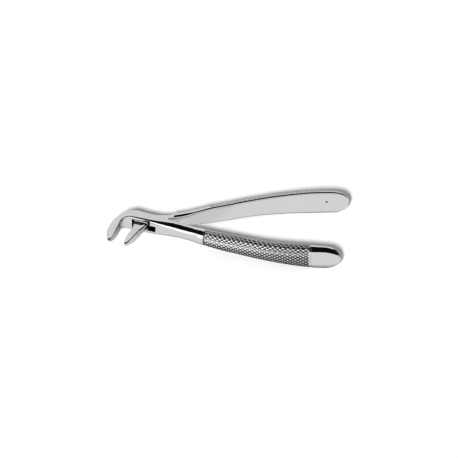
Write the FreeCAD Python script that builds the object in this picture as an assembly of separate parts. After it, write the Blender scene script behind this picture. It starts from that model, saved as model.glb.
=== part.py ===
import FreeCAD, Part
import math
import os

from collections import namedtuple
from FreeCAD import Vector

# Lower-jaw extraction forceps with a box joint, in millimetres.
# The hinge axis is Z. In plan the handles run towards +X and the beaks turn towards -Y.
# The flat face of the lower cheek lies in Z = 0, and the hinge axis goes through the origin.
# Each half follows a path in plan from its beak tip to its handle end. Distances along
# it are counted from the hinge: below zero on the beak, above zero on the handle.
# The left of a path is the +Y side of its handle and the -X side of its beak.

# Overall lengths, along the paths
handle_length = 142.5
tongue_handle_extra = 0.9
box_blade_length = 21.1
tongue_blade_length = 29.0
smooth_end_length = 19.9

# Joint box, on the outer-beak half
box_height = 10.5
box_front = 5.0
box_rear = 4.2
box_length = 17.0
box_edge = 0.7
cheek_grind = 0.12
cheek_end_radius = 15.0
cheek_corner = 1.5
box_heading = -23.7

# Slot through the box, and the tongue that works in it
tongue_height = 6.0
side_play = 0.05
tongue_radius = 3.6
tongue_front = 4.7
slot_left = 9.2
slot_right = 8.5
slot_flare_angle = 37.5
mouth_corner_left = 4.3
mouth_corner_low = 6.4
mouth_depth = 1.3
mouth_rise_left = 0.3
mouth_rise_right = 1.4
mill_radius = 16.5
mill_cutter_radius = 3.5
tongue_heading = 12.0
tongue_overlap = 4.0

# Hinge pin
pin_radius = 2.0
pin_play = 0.04
rivet_head_radius = 2.6
rivet_head_depth = 0.7

# Beaks
beak_width = 5.4
beak_tip_width = 2.0
beak_thickness = 6.0
beak_tip_thickness = 1.8
beak_tip_length = 1.3
beak_hollow = 0.3
beak_edge = 0.6
beak_root_step = 0.7

# Necks
neck_height = 10.6
neck_thickness = 6.1
neck_rear = 1.2

# Handles: flat inner face, domed outer face
handle_thickness = 7.6
handle_height_start = 12.7
handle_height_end = 16.6
handle_edge = 1.4
dome_across = 0.77
dome_up = 0.84
handle_end_length = 11.5
box_handle_shift = 2.15
tongue_handle_shift = 0.2
grip_start = 45.2
grip_end = handle_length - smooth_end_length
knurl_depth = 0.35
grip_land = 1.6
dimple_radius = 0.7
dimple_depth = 0.35
dimple_from_end = 15.5
dimple_rise = 0.7

# Paths: runs of (length, turn to the left in degrees), walked away from the hinge.
# A last sweep takes up what is left of each handle's length.
box_beak_runs = [(6.5, 0.0), (19.5, 96.0), (box_blade_length, 12.0)]
box_handle_runs = [(16.0, 0.0), (16.0, -5.5), (12.0, 0.0), (20.0, 5.5), (14.0, 0.0)]
box_handle_sweep = 23.2
tongue_beak_runs = [(6.0, 58.0), (tongue_blade_length, -3.0)]
tongue_handle_runs = [(15.0, 0.0), (21.0, 9.8), (28.0, -0.8), (30.0, -10.0)]
tongue_handle_sweep = -16.0

mid_z = box_height / 2.0
tongue_half_height = tongue_height / 2.0
box_half_height = mid_z + cheek_grind
tongue_blank = tongue_half_height + 0.4
neck_half = neck_height / 2.0
beyond = 4.0
station_gap = 4.0


def length_of(runs):
    return sum(length for length, turn in runs)


box_handle_runs.append((handle_length - length_of(box_handle_runs), box_handle_sweep))
tongue_handle_runs.append(
    (handle_length + tongue_handle_extra - length_of(tongue_handle_runs), tongue_handle_sweep)
)


# Point and heading at a distance along a chain of straight and round runs.
def walk(heading, runs, distance):
    x = 0.0
    y = 0.0
    left_to_go = distance
    for length, turn in runs:
        step = min(left_to_go, length)
        bend = math.radians(turn * step / length)
        middle = math.radians(heading) + bend / 2.0
        chord = step
        if abs(bend) > 1e-9:
            chord = step * math.sin(bend / 2.0) / (bend / 2.0)
        x += chord * math.cos(middle)
        y += chord * math.sin(middle)
        heading += math.degrees(bend)
        left_to_go -= step
    return x, y, heading


# Sizes of a cross-section: its reach to the left and right of the path, its half height,
# the rounding of its left and right edges (across and up), and the hollow of each face.
Sizes = namedtuple(
    "Sizes", "left right half left_t left_z right_t right_z left_hollow right_hollow"
)


# A half is a path and a table of stations. Between stations the sizes run smoothly.
class Half:
    def __init__(self, heading, beak_runs, handle_runs, stations):
        self.heading = heading
        self.beak_runs = beak_runs
        self.handle_runs = handle_runs
        self.beak_end = -length_of(beak_runs)
        self.handle_end = length_of(handle_runs)
        self.places = [row[0] for row in stations]
        self.columns = list(zip(*[row[1:] for row in stations]))

    def frame(self, place):
        if place >= 0.0:
            return walk(self.heading, self.handle_runs, place)
        x, y, heading = walk(self.heading + 180.0, self.beak_runs, -place)
        return x, y, heading - 180.0

    def sizes(self, place):
        return Sizes(*[smooth_value(self.places, column, place) for column in self.columns])


# Monotone cubic interpolation: no overshoot between stations.
def smooth_value(places, values, place):
    steps = [b - a for a, b in zip(places, places[1:])]
    slopes = [(b - a) / step for a, b, step in zip(values, values[1:], steps)]

    def tangent(index):
        if index == 0 or index == len(slopes):
            return slopes[min(index, len(slopes) - 1)]
        before = slopes[index - 1]
        after = slopes[index]
        if before * after <= 0.0:
            return 0.0
        return 2.0 * before * after / (before + after)

    index = max(i for i, start in enumerate(places[:-1]) if start <= place)
    step = steps[index]
    t = (place - places[index]) / step
    return (
        (1.0 + 2.0 * t) * (1.0 - t) ** 2 * values[index]
        + t * (1.0 - t) ** 2 * step * tangent(index)
        + t * t * (3.0 - 2.0 * t) * values[index + 1]
        - t * t * (1.0 - t) * step * tangent(index + 1)
    )


# Cross-section as eight strips of control points, in turn: left face, upper left corner,
# top, upper right corner, right face, lower right corner, underside, lower left corner.
# A face that is not hollow is flat. Each corner is a quarter of an ellipse.
def section(frame, sizes):
    left, right, half, left_t, left_z, right_t, right_z, left_hollow, right_hollow = sizes
    x, y, heading = frame
    angle = math.radians(heading)
    ellipse_pull = 0.5523

    def at(t, z):
        return Vector(x - t * math.sin(angle), y + t * math.cos(angle), mid_z + z)

    def corner(face_t, inward, edge_z, up):
        return [
            at(face_t, up * (half - edge_z)),
            at(face_t, up * (half - (1.0 - ellipse_pull) * edge_z)),
            at(face_t + (1.0 - ellipse_pull) * inward, up * half),
            at(face_t + inward, up * half),
        ]

    upper_left = corner(left, -left_t, left_z, 1)
    upper_right = corner(-right, right_t, right_z, 1)[::-1]
    lower_right = corner(-right, right_t, right_z, -1)
    lower_left = corner(left, -left_t, left_z, -1)[::-1]
    return [
        [lower_left[-1], at(left - 2.0 * left_hollow, 0.0), upper_left[0]],
        upper_left,
        [upper_left[-1], upper_right[0]],
        upper_right,
        [upper_right[-1], at(2.0 * right_hollow - right, 0.0), lower_right[0]],
        lower_right,
        [lower_right[-1], lower_left[0]],
        lower_left,
    ]


# Smooth surface through one strip of every section. All strips share the knots of the
# walk along the path, so that neighbouring surfaces meet exactly.
def strip_surface(strips, parameters):
    curves = []
    for row in zip(*strips):
        curve = Part.BSplineCurve()
        curve.interpolate(Points=list(row), Parameters=parameters)
        curves.append(curve)
    degree = len(curves) - 1
    surface = Part.BSplineSurface()
    surface.buildFromPolesMultsKnots(
        [curve.getPoles() for curve in curves],
        [degree + 1, degree + 1], curves[0].getMultiplicities(),
        [0.0, 1.0], curves[0].getKnots(),
        False, False, degree, curves[0].Degree,
    )
    return surface.toShape()


def end_face(strips):
    edges = []
    for poles in strips:
        curve = Part.BezierCurve()
        curve.setPoles(poles)
        edges.append(curve.toShape())
    return Part.Face(Part.Wire(edges))


# Closed solid through a row of cross-sections.
def solid_through(sections):
    middles = [(strips[0][1] + strips[4][1]) * 0.5 for strips in sections]
    tops = [strips[2][0] for strips in sections]
    parameters = [0.0]
    for i in range(1, len(sections)):
        stride = max((middles[i] - middles[i - 1]).Length, (tops[i] - tops[i - 1]).Length)
        parameters.append(parameters[-1] + stride)
    faces = [strip_surface(strips, parameters) for strips in zip(*sections)]
    faces += [end_face(sections[0]), end_face(sections[-1])]
    shell = Part.makeShell(faces)
    shell.sewShape()
    return Part.makeSolid(shell)


# Sizes at a place, drawn in to an elliptical end at the beak tip and at the handle end.
def ended_sizes(half, place):
    full = half.sizes(place)
    past_handle = (place - half.handle_end + handle_end_length) / handle_end_length
    past_beak = (half.beak_end + beak_tip_length - place) / beak_tip_length
    past = max(past_handle, past_beak, 0.0)
    slim = math.sqrt(1.0 - past * past)
    thin = math.sqrt(slim)
    middle = (full.left - full.right) / 2.0
    reach = thin * (full.left + full.right) / 2.0
    return Sizes(
        reach + middle, reach - middle, slim * full.half,
        thin * full.left_t, slim * full.left_z, thin * full.right_t, slim * full.right_z,
        thin * full.left_hollow, thin * full.right_hollow,
    )


# Places from start to end, evenly spaced and no further apart than the given gap.
def spaced(start, end, gap):
    count = math.ceil((end - start) / gap)
    return [start + (end - start) * i / count for i in range(count + 1)]


# Places that crowd towards a rounded end.
def end_places(start, length):
    return [start + length * math.sin(math.radians(angle)) for angle in (25, 45, 60, 72, 81, 87)]


def solid_along(half, places, sizes_at):
    return solid_through([section(half.frame(place), sizes_at(place)) for place in places])


# One forged blank: a smooth solid from one place to another, with round ends where asked.
def blank(half, start, end):
    tip_start = half.beak_end + beak_tip_length
    end_start = half.handle_end - handle_end_length
    places = spaced(max(start, tip_start), min(end, end_start), station_gap)
    if start < tip_start:
        places = end_places(tip_start, -beak_tip_length)[::-1] + places
    if end > end_start:
        places += end_places(end_start, handle_end_length)
    return solid_along(half, places, lambda place: ended_sizes(half, place))


# A prism through the joint from a plan outline of points or arcs, between two heights.
def plan_prism(edges, low, high):
    face = Part.Face(Part.Wire(edges))
    face.translate(Vector(0.0, 0.0, low))
    return face.extrude(Vector(0.0, 0.0, high - low))


def polygon(points):
    vectors = [Vector(x, y, 0.0) for x, y in points]
    return [Part.makeLine(a, b) for a, b in zip(vectors, vectors[1:] + vectors[:1])]


def turned_to_box(shape):
    shape.rotate(Vector(0.0, 0.0, 0.0), Vector(0.0, 0.0, 1.0), box_heading)
    return shape


# Stations.
# Place, left, right, half height, left rounding (across, up), right rounding (across, up),
# hollow of the left face, hollow of the right face.

# The handles of both halves share their heights and thicknesses. Their stations stand at
# shares of the way from the start of the grip to the end of the handle.
def handle_stations(shift, dome_is_left):
    rows = []
    for share, height, thickness in (
        (0.152, handle_height_start, handle_thickness),
        (0.378, handle_height_start + 1.0, handle_thickness),
        (0.615, handle_height_end - 1.1, handle_thickness),
        (0.779, handle_height_end, handle_thickness - 0.3),
        (0.892, handle_height_end - 0.3, handle_thickness - 0.9),
        (1.016, handle_height_end - 0.3, handle_thickness - 0.9),
    ):
        place = grip_start + share * (handle_length - grip_start)
        flat = (thickness / 2.0 - shift,)
        dome = (thickness / 2.0 + shift,)
        flat_round = (handle_edge, handle_edge)
        dome_round = (dome_across * thickness, dome_up * height / 2.0)
        if dome_is_left:
            rows.append((place, *dome, *flat, height / 2.0, *dome_round, *flat_round, 0.0, 0.0))
        else:
            rows.append((place, *flat, *dome, height / 2.0, *flat_round, *dome_round, 0.0, 0.0))
    return rows


def box_half_stations():
    tip = -length_of(box_beak_runs)
    blade = box_blade_length
    tip_across = beak_tip_thickness / 2.0
    across = beak_thickness / 2.0
    wide = beak_width / 2.0
    hollow = beak_hollow
    edge = beak_edge
    rear_edge = (box_edge, box_edge)
    neck_front = neck_thickness - neck_rear
    return [
        (tip, tip_across, tip_across, beak_tip_width / 2.0, 0.6, 0.6, 0.3, 0.4, 0.0, hollow),
        (tip + 0.213 * blade, across - 1.0, across - 0.8, wide - 0.9, 1.2, 1.2, 0.5, 0.7, 0.0, hollow),
        (tip + 0.498 * blade, across - 0.1, across, wide - 0.2, 1.5, 1.4, edge, 0.8, 0.0, hollow),
        (tip + 0.877 * blade, across + 0.1, across + 0.1, wide + 0.3, 1.5, 1.6, edge, 0.9, 0.0, hollow),
        (-24.8, across - 0.2, across - 0.1, wide + 0.7, 1.5, 2.0, edge, 1.0, 0.0, 0.2),
        (-19.5, across - 0.3, across - 0.3, wide + 1.4, 1.3, 1.6, 0.8, 1.0, 0.0, 0.1),
        (-16.3, box_rear - 0.3, across - 0.1, wide + 2.0, 1.1, 1.2, 0.8, 1.0, 0.0, 0.0),
        (-14.0, box_rear + 0.6, across + 0.4, box_half_height - 0.35, 0.9, 0.9, 0.8, 0.9, 0.0, 0.0),
        (-12.0, box_rear + 1.1, box_front - 0.8, box_half_height - 0.15, 0.8, 0.8, 0.8, 0.9, 0.0, 0.0),
        (-10.0, box_rear + 1.3, box_front - 0.3, box_half_height, *rear_edge, 1.5, 1.6, 0.0, 0.0),
        (-6.5, box_rear + 0.6, box_front, box_half_height, *rear_edge, 1.6, 1.7, 0.0, 0.0),
        (0.0, box_rear, box_front, box_half_height, *rear_edge, 1.8, 1.9, 0.0, 0.0),
        (8.0, box_rear, box_front, box_half_height, *rear_edge, 2.4, 2.3, 0.0, 0.0),
        (15.5, box_rear, box_front, box_half_height, *rear_edge, 3.6, 3.7, 0.0, 0.0),
        (22.0, neck_rear + 0.1, box_front - 0.2, box_half_height, 1.0, 1.2, 4.3, 4.7, 0.0, 0.0),
        (27.0, neck_rear, neck_front, neck_half, 1.2, 2.0, 4.7, 5.0, 0.0, 0.0),
        (35.0, neck_rear + 0.1, neck_front, neck_half + 0.1, 1.2, 2.2, 4.8, 5.2, 0.0, 0.0),
        (42.0, neck_rear + 0.2, neck_front + 0.5, neck_half + 0.45, 1.1, 1.9, 5.2, 5.2, 0.0, 0.0),
    ] + handle_stations(box_handle_shift, False)


def tongue_half_stations():
    tip = -length_of(tongue_beak_runs)
    blade = tongue_blade_length
    tip_across = beak_tip_thickness / 2.0
    across = beak_thickness / 2.0
    wide = beak_width / 2.0
    hollow = beak_hollow
    edge = beak_edge
    root_half = tongue_half_height - beak_root_step
    return [
        (tip, tip_across, tip_across, beak_tip_width / 2.0, 0.3, 0.4, 0.5, 0.6, hollow, 0.0),
        (tip + 0.138 * blade, across - 1.3, across - 1.3, wide - 0.9, 0.5, 0.7, 0.9, 0.9, hollow, 0.0),
        (tip + 0.276 * blade, across - 0.7, across - 0.7, wide - 0.4, edge, 0.8, 1.0, 1.0, hollow, 0.0),
        (tip + 0.466 * blade, across - 0.4, across - 0.3, wide - 0.2, edge, 0.9, 1.1, 1.1, hollow, 0.0),
        (tip + 0.69 * blade, across - 0.1, across + 0.3, root_half, edge, 0.8, 1.8, 1.6, 0.1, 0.0),
        (tip + 0.862 * blade, across + 0.8, across + 1.5, root_half, 0.6, 0.6, 2.4, 1.9, 0.0, 0.0),
        (tip + blade, 4.6, 4.9, root_half, 0.6, 0.6, 1.4, 1.3, 0.0, 0.0),
        (0.0, 4.6, 3.6, tongue_blank, 0.6, 0.6, 0.5, 0.5, 0.0, 0.0),
        (8.0, 4.0, 3.0, tongue_blank, 0.8, 0.8, 0.7, 0.7, 0.0, 0.0),
        (15.0, 2.4, 2.3, neck_half - 1.3, 0.8, 1.0, 2.2, 2.4, 0.0, 0.0),
        (24.0, 2.5, 3.0, neck_half - 0.8, 1.6, 2.0, 2.2, 2.6, 0.0, 0.0),
        (35.0, 3.3, 3.2, neck_half, 3.6, 3.8, 1.1, 1.7, 0.0, 0.0),
        (45.0, 3.8, 3.2, neck_half + 0.8, 4.6, 4.8, handle_edge, handle_edge, 0.0, 0.0),
    ] + handle_stations(tongue_handle_shift, True)


box_path = Half(box_heading, box_beak_runs, box_handle_runs, box_half_stations())
tongue_path = Half(tongue_heading, tongue_beak_runs, tongue_handle_runs, tongue_half_stations())


# Hinge pin: a plain rivet with a flared head in each cheek
def make_pin():
    shank = Part.makeCylinder(pin_radius, box_height)
    lower = Part.makeCone(rivet_head_radius, pin_radius, rivet_head_depth)
    upper = Part.makeCone(
        pin_radius, rivet_head_radius, rivet_head_depth,
        Vector(0.0, 0.0, box_height - rivet_head_depth),
    )
    return shank.fuse([lower, upper]).removeSplitter()


# Knurled grip: the domed face is let in by the knurl's depth.
# The flat inner face and a land beside it stay smooth.
def grip_recess(path, dome, flat):
    places = spaced(grip_start, grip_end, station_gap)

    def outside(place):
        full = path.sizes(place)
        return full._replace(**{
            dome: getattr(full, dome) + beyond,
            flat: getattr(full, flat) - grip_land,
            "half": full.half + beyond,
            dome + "_t": handle_edge,
            dome + "_z": handle_edge,
        })

    def inside(place):
        full = path.sizes(place)
        return full._replace(**{
            dome: getattr(full, dome) - knurl_depth,
            flat: getattr(full, flat) + beyond,
            "half": full.half - knurl_depth,
            dome + "_t": getattr(full, dome + "_t") - knurl_depth,
            dome + "_z": getattr(full, dome + "_z") - knurl_depth,
        })

    return solid_along(path, places, outside).cut(solid_along(path, places, inside))


# Slot through the box for the tongue.
# Its far wall leans, because the tongue's neck leaves through the rear of the box.
# Its mouth is eased upwards over the beak's root, and one upper corner is left standing
# as a stop behind the root.
def make_slot():
    low = mid_z - tongue_half_height - side_play
    high = mid_z + tongue_half_height + side_play
    out = box_front + beyond
    lean = math.tan(math.radians(slot_flare_angle))
    rear_right = slot_right + (neck_rear + box_front) / lean + beyond
    outline = [
        (-slot_left, -out),
        (slot_right, -out),
        (slot_right, -box_front),
        (rear_right, neck_rear + beyond * lean),
        (rear_right, out),
        (-slot_left, out),
    ]
    corner = Part.makeBox(
        out - mouth_corner_left, mouth_depth + beyond, high - mouth_corner_low,
        Vector(mouth_corner_left, -out, mouth_corner_low),
    )
    easing = Part.Face(Part.makePolygon([
        Vector(-slot_left, -out, mid_z),
        Vector(mouth_corner_left, -out, mid_z),
        Vector(mouth_corner_left, -out, high + mouth_rise_right),
        Vector(-slot_left, -out, high + mouth_rise_left),
        Vector(-slot_left, -out, mid_z),
    ])).extrude(Vector(0.0, mouth_depth + beyond, 0.0))
    slot = plan_prism(polygon(outline), low, high).cut(corner).fuse(easing)
    return turned_to_box(slot.removeSplitter())


# Cheeks: ground flat, and ending in arcs about the hinge behind the neck
def make_cheek_cuts():
    near = -box_rear - beyond - 6.0
    far = box_length + beyond
    across = 2.0 * (box_rear + beyond)
    top = Part.makeBox(far - near, across, beyond, Vector(near, -across / 2.0, box_height))
    bottom = Part.makeBox(far - near, across, beyond, Vector(near, -across / 2.0, -beyond))
    block = Part.makeBox(
        far + beyond, box_rear + beyond, box_height + 2.0 * beyond, Vector(2.0, neck_rear, -beyond)
    )
    cheek = Part.makeCylinder(
        cheek_end_radius, box_height + 4.0 * beyond, Vector(0.0, 0.0, -2.0 * beyond)
    )
    relief = block.cut(cheek)
    inner = [
        edge for edge in relief.Edges
        if edge.BoundBox.XLength + edge.BoundBox.YLength < 0.001
        and abs(edge.CenterOfMass.y - neck_rear) < 0.001
        and abs(math.hypot(edge.CenterOfMass.x, edge.CenterOfMass.y) - cheek_end_radius) < 0.001
    ]
    relief = relief.makeFillet(cheek_corner, inner)
    return [turned_to_box(shape) for shape in (top, bottom, relief)]


# Tongue: milled flat on both sides about the hinge, with a round run-out
def make_mill_cuts():
    run_out = math.radians(72.0)
    rise = mill_cutter_radius * (1.0 - math.cos(run_out))
    reach = mill_cutter_radius * math.sin(run_out)
    half_out = run_out / 2.0
    middle = Vector(
        mill_radius + mill_cutter_radius * math.sin(half_out),
        0.0,
        tongue_half_height + mill_cutter_radius * (1.0 - math.cos(half_out)),
    )
    start = Vector(mill_radius, 0.0, tongue_half_height)
    end = Vector(mill_radius + reach, 0.0, tongue_half_height + rise)
    inner = Vector(0.0, 0.0, tongue_half_height)
    outer = Vector(0.0, 0.0, tongue_half_height + rise)
    profile = Part.Wire([
        Part.makeLine(inner, start),
        Part.Arc(start, middle, end).toShape(),
        Part.makeLine(end, outer),
        Part.makeLine(outer, inner),
    ])
    centre = Vector(0.0, 0.0, 0.0)
    upper = Part.Face(profile).revolve(centre, Vector(0.0, 0.0, 1.0), 360.0)
    lower = upper.mirror(centre, Vector(0.0, 0.0, 1.0))
    upper.translate(Vector(0.0, 0.0, mid_z))
    lower.translate(Vector(0.0, 0.0, mid_z))
    return [upper, lower]


def make_dimple():
    place = tongue_path.handle_end - dimple_from_end
    x, y, heading = tongue_path.frame(place)
    ball_radius = (dimple_radius ** 2 + dimple_depth ** 2) / (2.0 * dimple_depth)
    out = tongue_path.sizes(place).right + ball_radius - dimple_depth
    angle = math.radians(heading)
    centre = Vector(x + out * math.sin(angle), y - out * math.cos(angle), mid_z + dimple_rise)
    return Part.makeSphere(ball_radius, centre)


def make_box_half():
    body = blank(box_path, box_path.beak_end, box_path.handle_end)
    cuts = make_cheek_cuts() + [make_slot(), make_pin(), grip_recess(box_path, "right", "left")]
    return body.cut(cuts)


# The beak steps down from the tongue just inside the mouth of the slot.
def make_tongue_root():
    def full_height(place):
        return tongue_path.sizes(place)._replace(half=tongue_blank)

    root = solid_along(tongue_path, spaced(-14.0, tongue_overlap, 2.0), full_height)
    reach = 30.0
    inside = Part.makeBox(
        2.0 * reach, reach, box_height, Vector(-reach, -tongue_front, 0.0)
    )
    return root.common(turned_to_box(inside))


def make_tongue_half():
    beak = blank(tongue_path, tongue_path.beak_end, -tongue_overlap)
    handle = blank(tongue_path, 0.0, tongue_path.handle_end)
    hub = Part.makeCylinder(tongue_radius, 2.0 * tongue_blank, Vector(0.0, 0.0, mid_z - tongue_blank))
    bore = Part.makeCylinder(pin_radius + pin_play, box_height)
    cuts = make_mill_cuts() + [bore, make_dimple(), grip_recess(tongue_path, "left", "right")]
    return beak.fuse([make_tongue_root(), hub, handle]).cut(cuts)


os.makedirs("parts", exist_ok=True)
for name, shape in (
    ("box_half", make_box_half()),
    ("tongue_half", make_tongue_half()),
    ("hinge_pin", make_pin()),
):
    print(name, "valid", shape.isValid(), "solids", len(shape.Solids), "volume", round(shape.Volume, 1))
    shape.exportStep("parts/" + name + ".step")
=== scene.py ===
import math

import bmesh
import bpy
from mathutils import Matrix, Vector
from mathutils.bvhtree import BVHTree


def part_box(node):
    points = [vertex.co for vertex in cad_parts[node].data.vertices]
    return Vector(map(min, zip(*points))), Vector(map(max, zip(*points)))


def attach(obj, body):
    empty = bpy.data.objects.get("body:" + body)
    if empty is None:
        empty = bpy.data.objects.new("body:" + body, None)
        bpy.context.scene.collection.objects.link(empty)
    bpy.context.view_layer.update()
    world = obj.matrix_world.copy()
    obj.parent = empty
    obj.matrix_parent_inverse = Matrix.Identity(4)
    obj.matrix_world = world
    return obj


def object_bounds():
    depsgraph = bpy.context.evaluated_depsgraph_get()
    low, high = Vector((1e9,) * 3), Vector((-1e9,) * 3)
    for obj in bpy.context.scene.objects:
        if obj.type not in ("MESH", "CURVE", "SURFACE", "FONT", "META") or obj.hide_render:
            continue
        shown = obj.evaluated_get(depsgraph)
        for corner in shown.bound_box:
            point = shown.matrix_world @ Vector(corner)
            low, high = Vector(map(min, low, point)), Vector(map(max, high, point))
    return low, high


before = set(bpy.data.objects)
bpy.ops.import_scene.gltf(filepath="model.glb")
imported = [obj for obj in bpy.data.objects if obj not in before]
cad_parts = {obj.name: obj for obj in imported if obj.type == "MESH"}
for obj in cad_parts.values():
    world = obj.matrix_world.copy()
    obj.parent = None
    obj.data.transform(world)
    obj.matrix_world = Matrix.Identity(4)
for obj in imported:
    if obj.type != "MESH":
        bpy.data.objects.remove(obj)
cadBox = [list(corner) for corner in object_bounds()]
mm = 0.001
print("frame loaded")

# The camera stands far away with a long lens, so that hardly anything converges
camera = {
    "target": Vector((56.2, -9.7, 5.8)) * mm,
    "elevation": 29.5,
    "distance": 12.0,
    "viewWidth": 313.7 * mm,
    "sensor": 36.0,
    "clip": (0.1, 100.0),
}


def makeCamera(spec):
    data = bpy.data.cameras.new("camera")
    data.sensor_width = spec["sensor"]
    data.lens = spec["sensor"] * spec["distance"] / spec["viewWidth"]
    data.clip_start, data.clip_end = spec["clip"]
    cam = bpy.data.objects.new("camera", data)
    bpy.context.scene.collection.objects.link(cam)
    tilt = math.radians(spec["elevation"])
    back = Vector((0.0, -math.cos(tilt), math.sin(tilt)))
    cam.location = spec["target"] + spec["distance"] * back
    cam.rotation_euler = (-back).to_track_quat("-Z", "Y").to_euler()
    bpy.context.scene.camera = cam


makeCamera(camera)
bpy.context.scene.view_settings.view_transform = "Standard"


def addNode(tree, kind, sockets=None, **settings):
    node = tree.nodes.new(kind)
    for name, value in settings.items():
        setattr(node, name, value)
    for name, value in (sockets or {}).items():
        if isinstance(value, bpy.types.NodeSocket):
            tree.links.new(value, node.inputs[name])
        else:
            node.inputs[name].default_value = value
    return node


def mathNode(tree, operation, a, b=0.0, clamp=False):
    node = addNode(tree, "ShaderNodeMath", {0: a, 1: b}, operation=operation, use_clamp=clamp)
    return node.outputs[0]


# Value between low and high, as a smooth step of the input from start to end
def smoothStep(tree, value, start, end, low=0.0, high=1.0):
    node = addNode(
        tree, "ShaderNodeMapRange",
        {"Value": value, "From Min": start, "From Max": end, "To Min": low, "To Max": high},
        interpolation_type="SMOOTHSTEP",
    )
    return node.outputs["Result"]


def newMaterial(name):
    material = bpy.data.materials.new(name)
    material.use_nodes = True
    material.node_tree.nodes.clear()
    return material, material.node_tree


# A pale studio with a dark ceiling, as polished steel shows it. Angles are in degrees
studio = {
    "surround": 1.0,
    "ambient": 0.27,
    "darkZones": [
        {"towards": (0.0, -0.25, 0.97), "stretch": 0.5, "radius": 43.0, "softness": 1.5, "level": 0.004},
        {"towards": (0.83, 0.40, 0.38), "stretch": 1.0, "radius": 29.0, "softness": 4.0, "level": 0.03},
    ],
    "brightZones": [
        {"towards": (-0.66, -0.66, 0.36), "stretch": 1.0, "radius": 24.0, "softness": 5.0, "level": 1.9},
    ],
    "sunStrength": 5.9,
    "sunAngle": 6.0,
    "sunElevation": 25.8,
    "sunAzimuth": -6.0,
}


# A round patch of the surroundings, or a wide one where it is stretched along X
def zoneShare(tree, direction, zone):
    squeeze = (zone["stretch"], 1.0, 1.0)
    squeezed = addNode(tree, "ShaderNodeVectorMath", {0: direction, 1: squeeze}, operation="MULTIPLY")
    evened = addNode(tree, "ShaderNodeVectorMath", {0: squeezed.outputs[0]}, operation="NORMALIZE")
    towards = Vector(zone["towards"]).normalized()
    dot = addNode(
        tree, "ShaderNodeVectorMath", {0: evened.outputs[0], 1: towards}, operation="DOT_PRODUCT"
    )
    inner = math.cos(math.radians(zone["radius"] - zone["softness"]))
    outer = math.cos(math.radians(zone["radius"] + zone["softness"]))
    return smoothStep(tree, dot.outputs["Value"], outer, inner)


def mixNode(tree, share, a, b, kind="FLOAT"):
    node = addNode(tree, "ShaderNodeMix", {"Factor": share, "A": a, "B": b}, data_type=kind)
    return node.outputs["Result"]


def makeWorld(spec):
    world = bpy.data.worlds.new("studio")
    world.use_nodes = True
    tree = world.node_tree
    tree.nodes.clear()
    direction = addNode(tree, "ShaderNodeTexCoord").outputs["Generated"]
    level = spec["surround"]
    for zone in spec["brightZones"] + spec["darkZones"]:
        level = mixNode(tree, zoneShare(tree, direction, zone), level, zone["level"])
    path = addNode(tree, "ShaderNodeLightPath")
    level = mixNode(tree, path.outputs["Is Glossy Ray"], spec["ambient"], level)
    level = mixNode(tree, path.outputs["Is Camera Ray"], level, 1.0)
    background = addNode(tree, "ShaderNodeBackground", {"Color": (1.0, 1.0, 1.0, 1.0), "Strength": level})
    addNode(tree, "ShaderNodeOutputWorld", {"Surface": background.outputs[0]})
    bpy.context.scene.world = world


def makeSun(spec):
    data = bpy.data.lights.new("keyLight", "SUN")
    data.energy = spec["sunStrength"]
    data.angle = math.radians(spec["sunAngle"])
    lamp = bpy.data.objects.new("keyLight", data)
    bpy.context.scene.collection.objects.link(lamp)
    up = math.radians(spec["sunElevation"])
    side = math.radians(spec["sunAzimuth"])
    towards = Vector((math.sin(side) * math.cos(up), -math.cos(side) * math.cos(up), math.sin(up)))
    lamp.rotation_euler = (-towards).to_track_quat("-Z", "Y").to_euler()
    lamp.location = towards
    lamp.visible_glossy = False


# White ground. Steel mirrors it as plain white, with painted shade where something stands close to it
floor = {
    "halfSize": 4.0,
    "gap": 0.01 * mm,
    "albedo": 0.94,
    "mirrored": 0.85,
    "paintedShadeReach": 4.5 * mm,
    "paintedShadeSamples": 8,
}


def makeFloor(spec, height):
    half = spec["halfSize"]
    corners = [(-half, -half, height), (half, -half, height), (half, half, height), (-half, half, height)]
    mesh = bpy.data.meshes.new("floor")
    mesh.from_pydata(corners, [], [(0, 1, 2, 3)])
    ground = bpy.data.objects.new("floor", mesh)
    bpy.context.scene.collection.objects.link(ground)
    material, tree = newMaterial("paleGround")
    pale = addNode(tree, "ShaderNodeBsdfDiffuse", {"Color": (spec["albedo"],) * 3 + (1.0,)})
    # Painted shade: the mirrored white dims by ambient occlusion close to the object
    paintedContactShade = addNode(
        tree, "ShaderNodeAmbientOcclusion",
        {"Distance": spec["paintedShadeReach"]}, samples=spec["paintedShadeSamples"],
    )
    level = paintedContactShade.outputs["AO"]
    white = addNode(tree, "ShaderNodeEmission", {"Color": (1.0, 1.0, 1.0, 1.0), "Strength": level})
    path = addNode(tree, "ShaderNodeLightPath")
    mirrored = mathNode(tree, "MULTIPLY", path.outputs["Is Glossy Ray"], spec["mirrored"])
    both = addNode(tree, "ShaderNodeMixShader", {0: mirrored, 1: pale.outputs[0], 2: white.outputs[0]})
    addNode(tree, "ShaderNodeOutputMaterial", {"Surface": both.outputs[0]})
    mesh.materials.append(material)


# A low white card beside the neck, seen only in the steel. Sizes are in millimetres
card = {
    "start": (8.0, -36.0),
    "end": (78.0, -74.0),
    "height": 19.0,
    "fade": 7.0,
    "level": (1.0, 1.9),
}


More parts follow.
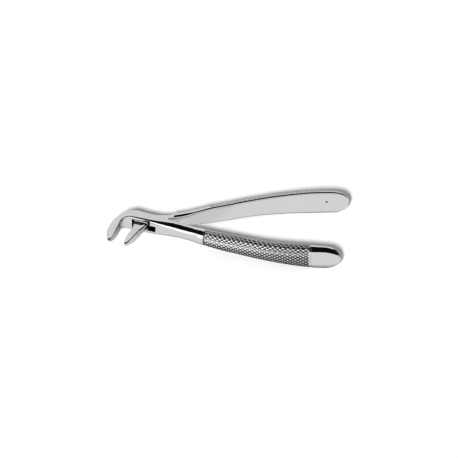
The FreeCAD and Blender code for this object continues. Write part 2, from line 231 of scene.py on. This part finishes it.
def makeCard(spec, height):
    foot = [(x * mm, y * mm, height) for x, y in (spec["start"], spec["end"])]
    top = [(x, y, z + spec["height"] * mm) for x, y, z in reversed(foot)]
    mesh = bpy.data.meshes.new("card")
    mesh.from_pydata(foot + top, [], [(0, 1, 2, 3)])
    board = bpy.data.objects.new("card", mesh)
    bpy.context.scene.collection.objects.link(board)
    material, tree = newMaterial("cardWhite")
    coords = addNode(tree, "ShaderNodeTexCoord")
    place = addNode(tree, "ShaderNodeSeparateXYZ", {0: coords.outputs["Object"]})
    level = smoothStep(tree, place.outputs["Z"], height, height + spec["fade"] * mm, *spec["level"])
    white = addNode(tree, "ShaderNodeEmission", {"Color": (1.0, 1.0, 1.0, 1.0), "Strength": level})
    addNode(tree, "ShaderNodeOutputMaterial", {"Surface": white.outputs[0]})
    mesh.materials.append(material)
    board.visible_camera = False
    board.visible_diffuse = False
    board.visible_shadow = False


makeWorld(studio)
makeSun(studio)
groundHeight = cadBox[0][2] - floor["gap"]
makeFloor(floor, groundHeight)
makeCard(card, groundHeight)
print("studio made")

steel = {
    "bright": (0.650, 0.649, 0.645, 1.0),
    "dull": (0.625, 0.625, 0.621, 1.0),
    "roughness": (0.055, 0.11),
    "grain": (0.15, 0.40),
    "cloudScale": 45.0,
    "cloudDetail": 4.0,
    "lineScale": 1500.0,
    "lineDetail": 3.0,
    "lineHarshness": 0.6,
    "lineStretch": (0.035, 1.0, 1.0),
    "lineDepth": 0.0006 * mm,
    "waveScale": 60.0,
    "waveDetail": 1.0,
    "waveDepth": 0.006 * mm,
    "edgeSoftness": 0.2 * mm,
    "edgeSamples": 6,
    "edgeTint": (0.55, 0.55, 0.55, 1.0),
    "grooveShadeColour": (0.02, 0.02, 0.018, 1.0),
    "grooveRoughness": 0.25,
    "jointShadeColour": (0.025, 0.024, 0.022, 1.0),
    "jointRoughness": 0.45,
}
# Joint faces are left dull, and their near-black colour is painted shade: ranges along the box,
# across it and up, in millimetres, and the most that a face's normal may point up, where 2 takes every
# face
shadedJointFaces = {
    "boxHeading": -23.7,
    "box_half": [
        {"along": (-9.4, 9.0), "across": (-4.9, 4.0), "up": (2.1, 8.36), "facing": 2.0},
        {"along": (9.0, 15.0), "across": (-3.5, 4.0), "up": (2.1, 8.36), "facing": 2.0},
        {"along": (-9.4, 4.5), "across": (-4.9, -3.5), "up": (8.3, 9.95), "facing": 0.1},
    ],
    "tongue_half": [{"along": (-9.4, 9.0), "across": (-4.64, 4.0), "up": (2.2, 8.2), "facing": 2.0}],
    "hinge_pin": [],
}
# The hardness-test dimple is a dull spot on the inner half, darkened with painted shade in its hollow
dimple = {"node": "tongue_half", "centre": (123.3, 27.86, 5.95), "radius": 0.78, "share": 0.75}


def withinShare(tree, value, limits):
    above = mathNode(tree, "GREATER_THAN", value, limits[0] * mm)
    below = mathNode(tree, "LESS_THAN", value, limits[1] * mm)
    return mathNode(tree, "MULTIPLY", above, below)


# 1 on the faces in and around the joint, which are dull and painted near-black as shade, 0 elsewhere
def jointShadeShare(tree, place, blocks, heading):
    turned = addNode(
        tree, "ShaderNodeVectorRotate", {"Vector": place, "Angle": -math.radians(heading)},
        rotation_type="Z_AXIS",
    )
    axes = addNode(tree, "ShaderNodeSeparateXYZ", {0: turned.outputs[0]})
    geometry = addNode(tree, "ShaderNodeNewGeometry")
    normal = addNode(tree, "ShaderNodeSeparateXYZ", {0: geometry.outputs["Normal"]})
    share = 0.0
    for block in blocks:
        inside = withinShare(tree, axes.outputs["X"], block["along"])
        inside = mathNode(tree, "MULTIPLY", inside, withinShare(tree, axes.outputs["Y"], block["across"]))
        inside = mathNode(tree, "MULTIPLY", inside, withinShare(tree, axes.outputs["Z"], block["up"]))
        facing = mathNode(tree, "LESS_THAN", normal.outputs["Z"], block["facing"])
        share = mathNode(tree, "MAXIMUM", mathNode(tree, "MULTIPLY", inside, facing), share)
    return share


# Polished stainless steel: soft clouds, fine polishing lines along the handles, and
# slight hand-worked unevenness. A knurled piece is duller in its grooves, and painted
# shade darkens its grooves, its first ring and more of its flanks on the lower half.
def makeSteel(name, spec, knurled=False, blocks=(), dent=None):
    material, tree = newMaterial(name)
    place = addNode(tree, "ShaderNodeTexCoord").outputs["Object"]
    clouds = addNode(
        tree, "ShaderNodeTexNoise",
        {"Vector": place, "Scale": spec["cloudScale"], "Detail": spec["cloudDetail"]},
    )
    stretched = addNode(tree, "ShaderNodeMapping", {"Vector": place, "Scale": spec["lineStretch"]})
    lines = addNode(
        tree, "ShaderNodeTexNoise",
        {
            "Vector": stretched.outputs[0], "Scale": spec["lineScale"],
            "Detail": spec["lineDetail"], "Roughness": spec["lineHarshness"],
        },
    )
    waves = addNode(
        tree, "ShaderNodeTexNoise",
        {"Vector": place, "Scale": spec["waveScale"], "Detail": spec["waveDetail"]},
    )
    colour = mixNode(tree, clouds.outputs["Fac"], spec["bright"], spec["dull"], "RGBA")
    grain = mathNode(tree, "MULTIPLY", clouds.outputs["Fac"], lines.outputs["Fac"])
    roughness = smoothStep(tree, grain, *spec["grain"], *spec["roughness"])
    soft = addNode(
        tree, "ShaderNodeBevel", {"Radius": spec["edgeSoftness"]}, samples=spec["edgeSamples"]
    )
    wavy = addNode(
        tree, "ShaderNodeBump",
        {"Height": waves.outputs["Fac"], "Distance": spec["waveDepth"], "Normal": soft.outputs[0]},
    )
    fine = addNode(
        tree, "ShaderNodeBump",
        {"Height": lines.outputs["Fac"], "Distance": spec["lineDepth"], "Normal": wavy.outputs[0]},
    )
    if knurled:
        # Painted shade on the knurl: the colour darkens with the skin's shade share
        paintedKnurlShade = addNode(tree, "ShaderNodeAttribute", attribute_name="paintedKnurlShade").outputs["Fac"]
        colour = mixNode(tree, paintedKnurlShade, colour, spec["grooveShadeColour"], "RGBA")
        roughness = mixNode(tree, paintedKnurlShade, roughness, spec["grooveRoughness"])
    if blocks:
        jointAndDentShade = jointShadeShare(tree, place, blocks, shadedJointFaces["boxHeading"])
        if dent:
            # Painted shade in the dimple's hollow, mixed into the joint shade
            centre = Vector(dent["centre"]) * mm
            apart = addNode(tree, "ShaderNodeVectorMath", {0: place, 1: centre}, operation="DISTANCE")
            inDent = mathNode(tree, "LESS_THAN", apart.outputs["Value"], dent["radius"] * mm)
            jointAndDentShade = mathNode(tree, "MAXIMUM", jointAndDentShade, mathNode(tree, "MULTIPLY", inDent, dent["share"]))
        # Painted shade: near-black colour on the joint faces and in the dimple
        colour = mixNode(tree, jointAndDentShade, colour, spec["jointShadeColour"], "RGBA")
        roughness = mixNode(tree, jointAndDentShade, roughness, spec["jointRoughness"])
    surface = addNode(
        tree, "ShaderNodeBsdfPrincipled",
        {
            "Base Color": colour, "Metallic": 1.0, "Roughness": roughness,
            "Specular Tint": spec["edgeTint"], "Normal": fine.outputs[0],
        },
    )
    addNode(tree, "ShaderNodeOutputMaterial", {"Surface": surface.outputs[0]})
    return material


knurledSteel = makeSteel("knurledSteel", steel, knurled=True)
for name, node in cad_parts.items():
    dent = dimple if name == dimple["node"] else None
    finish = makeSteel(name + "Steel", steel, blocks=shadedJointFaces[name], dent=dent)
    for slot in node.material_slots:
        slot.material = finish
print("steel made")

# Knurl: pyramids on the domed side of each handle, over the recess left for them.
# Millimetres, with the start and end measured along the path, and degrees for the probe
knurl = {
    "start": 45.2,
    "end": 122.6,
    "startGap": 0.45,
    "endGap": 0.25,
    "ring": 0.8,
    "collar": 1.4,
    "collarSteps": 8,
    "land": 1.6,
    "landGap": 0.12,
    "pitchAlong": 3.5,
    "pitchAcross": 2.12,
    "divisions": 8,
    "flatTop": 0.95,
    "depth": 0.31,
    "lift": 0.03,
    "collarHeight": 0.33,
    "sunk": 0.15,
    "halfGirth": 16.0,
    "probeReach": 20.0,
    "probeStep": 0.5,
    "probeEnd": 165.0,
    "weld": 0.0005,
    # Painted shade on the knurl: the rise up to which it is full and from which it is gone, heavier on
    # the lower half of the dome
    "shadeFull": (0.0, 0.35),
    "shadeGone": (0.2, 0.68),
    "shadeEdge": (0.3, -3.0),
    "shadeBlend": 1.5,
}
# Each path leaves the pin at the heading, in runs of a length and a turn in degrees
handles = [
    {
        "name": "outer_knurl",
        "node": "box_half",
        "body": "box_body",
        "heading": -23.7,
        "domeSide": -1.0,
        "runs": [(16.0, 0.0), (16.0, -5.5), (12.0, 0.0), (20.0, 5.5), (14.0, 0.0), (64.5, 23.2)],
    },
    {
        "name": "inner_knurl",
        "node": "tongue_half",
        "body": "tongue_body",
        "heading": 12.0,
        "domeSide": 1.0,
        "runs": [(15.0, 0.0), (21.0, 9.8), (28.0, -0.8), (30.0, -10.0), (49.4, -16.0)],
    },
]


# Point and heading at a distance along a chain of straight and round runs
def walk(handle, distance):
    point = Vector((0.0, 0.0))
    heading = math.radians(handle["heading"])
    for length, turn in handle["runs"]:
        step = min(max(distance, 0.0), length)
        bend = math.radians(turn) * step / length
        chord = step
        if abs(bend) > 1e-9:
            chord = step * math.sin(bend / 2.0) / (bend / 2.0)
        point += chord * Vector((math.cos(heading + bend / 2.0), math.sin(heading + bend / 2.0)))
        heading += bend
        distance -= step
    return point, heading


# Half of a cross-section of the recess floor, from the crest of the dome to the land:
# distances over the surface, with the point at each.
def domeProfile(tree, centre, out, upwards, spec):
    reach = spec["probeReach"]
    flat = tree.ray_cast(centre - reach * mm * out, out)[0]
    landAt = (flat - centre).dot(out) / mm + spec["land"] + spec["landGap"]
    profile = []
    length = 0.0
    for step in range(int(spec["probeEnd"] / spec["probeStep"]) + 1):
        angle = math.radians(step * spec["probeStep"])
        towards = math.cos(angle) * out + math.sin(angle) * Vector((0.0, 0.0, upwards))
        hit = tree.ray_cast(centre + reach * mm * towards, -towards)[0]
        if profile:
            length += (hit - profile[-1][1]).length / mm
        profile.append((length, hit))
        if (hit - centre).dot(out) / mm < landAt:
            break
    return profile


def pointOnProfile(profile, out, upwards, distance):
    index = 1
    while index < len(profile) - 1 and profile[index][0] < distance:
        index += 1
    (startLength, start), (endLength, end) = profile[index - 1], profile[index]
    share = (distance - startLength) / (endLength - startLength)
    side = (end - start).normalized()
    along = out.cross(Vector((0.0, 0.0, upwards)))
    return start.lerp(end, share), side.cross(along).normalized()


# Height over the groove bottoms, from 0 to 1: four-sided pyramids with flat tops
def pyramidHeight(u, v, spec):
    a = u / spec["pitchAlong"] + v / spec["pitchAcross"]
    b = u / spec["pitchAlong"] - v / spec["pitchAcross"]
    rise = min(1.0 - abs(2.0 * (t - math.floor(t)) - 1.0) for t in (a, b))
    return min(1.0, rise / spec["flatTop"])


# From the first to the second of two values, as the place goes through its own two
def between(values, places, place):
    share = min(max((place - places[0]) / (places[1] - places[0]), 0.0), 1.0)
    return values[0] + share * (values[1] - values[0])


def makeKnurl(handle, spec):
    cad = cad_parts[handle["node"]]
    tree = BVHTree.FromPolygons(
        [vertex.co for vertex in cad.data.vertices], [list(p.vertices) for p in cad.data.polygons]
    )
    lowest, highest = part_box(handle["node"])
    midHeight = (lowest.z + highest.z) / 2.0
    start = spec["start"] + spec["startGap"]
    end = spec["end"] - spec["endGap"]
    alongStep = spec["pitchAlong"] / spec["divisions"]
    acrossStep = spec["pitchAcross"] / spec["divisions"]
    collarStart = end - spec["collar"]
    columns = [start + alongStep * i for i in range(int((collarStart - start) / alongStep) + 1)]
    collarSteps = spec["collarSteps"]
    columns += [collarStart + spec["collar"] * i / collarSteps for i in range(collarSteps + 1)]
    halfCount = int(spec["halfGirth"] / acrossStep)
    rows = []
    for place in columns:
        point, heading = walk(handle, place)
        centre = Vector((point.x * mm, point.y * mm, midHeight))
        out = handle["domeSide"] * Vector((-math.sin(heading), math.cos(heading), 0.0))
        profiles = {up: domeProfile(tree, centre, out, up, spec) for up in (-1.0, 1.0)}
        inRing = place - start < spec["ring"]
        onCollar = 2.0 * (place - collarStart) / spec["collar"] - 1.0
        edge = between(spec["shadeEdge"], (start, end), place)
        blend = (edge - spec["shadeBlend"], edge + spec["shadeBlend"])
        row = []
        for j in range(-halfCount, halfCount + 1):
            upwards = -1.0 if j < 0 else 1.0
            profile = profiles[upwards]
            distance = min(abs(j) * acrossStep, profile[-1][0])
            rise = pyramidHeight(place - start, upwards * distance, spec)
            height = spec["lift"] + spec["depth"] * rise
            if inRing:
                height = spec["lift"]
                rise = 0.0
            if onCollar >= -1.0:
                bead = math.sqrt(max(0.0, 1.0 - onCollar ** 2))
                height = spec["lift"] + (spec["collarHeight"] - spec["lift"]) * bead
                rise = 1.0
            spot, normal = pointOnProfile(profile, out, upwards, distance)
            outer = spot + normal * height * mm
            outer.z = min(max(outer.z, lowest.z), highest.z)
            # Painted shade: groove bottoms, the first ring and more of each flank on the lower half of
            # the dome are darkened
            limits = [between(spec[key], blend, -upwards * distance) for key in ("shadeFull", "shadeGone")]
            paintedShade = between((1.0, 0.0), limits, rise)
            row.append((outer, spot - normal * spec["sunk"] * mm, paintedShade))
        rows.append(row)
    return makeShell(handle["name"], rows, spec["weld"] * mm)


# Closed skin from rows of (outer point, inner point, share of painted shade)
def makeShell(name, rows, weld):
    wide = len(rows[0])
    last = len(rows) - 1
    points = [spot[0] for row in rows for spot in row] + [spot[1] for row in rows for spot in row]
    knurlShades = [spot[2] for row in rows for spot in row] + [0.0] * (len(rows) * wide)
    under = len(rows) * wide

    def at(i, j):
        return i * wide + j

    faces = []
    for i in range(last):
        for j in range(wide - 1):
            a, b, c, d = at(i, j), at(i + 1, j), at(i + 1, j + 1), at(i, j + 1)
            splitAtA = knurlShades[a] + knurlShades[c] > knurlShades[b] + knurlShades[d]
            faces += [(a, b, c), (a, c, d)] if splitAtA else [(a, b, d), (b, c, d)]
            faces.append((d + under, c + under, b + under, a + under))
    rim = [at(0, j) for j in range(wide)] + [at(i, wide - 1) for i in range(1, last + 1)]
    rim += [at(last, j) for j in range(wide - 2, -1, -1)] + [at(i, 0) for i in range(last - 1, 0, -1)]
    for a, b in zip(rim, rim[1:] + rim[:1]):
        faces.append((a, b, b + under, a + under))
    mesh = bpy.data.meshes.new(name)
    mesh.from_pydata(points, [], faces)
    attribute = mesh.attributes.new("paintedKnurlShade", "FLOAT", "POINT")
    attribute.data.foreach_set("value", knurlShades)
    work = bmesh.new()
    work.from_mesh(mesh)
    bmesh.ops.remove_doubles(work, verts=work.verts, dist=weld)
    bmesh.ops.dissolve_degenerate(work, edges=work.edges, dist=weld)
    bmesh.ops.recalc_face_normals(work, faces=work.faces)
    work.to_mesh(mesh)
    work.free()
    skin = bpy.data.objects.new(name, mesh)
    bpy.context.scene.collection.objects.link(skin)
    return skin


for handle in handles:
    skin = makeKnurl(handle, knurl)
    skin.data.materials.append(knurledSteel)
    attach(skin, handle["body"])
    print(handle["name"], len(skin.data.vertices), "points")
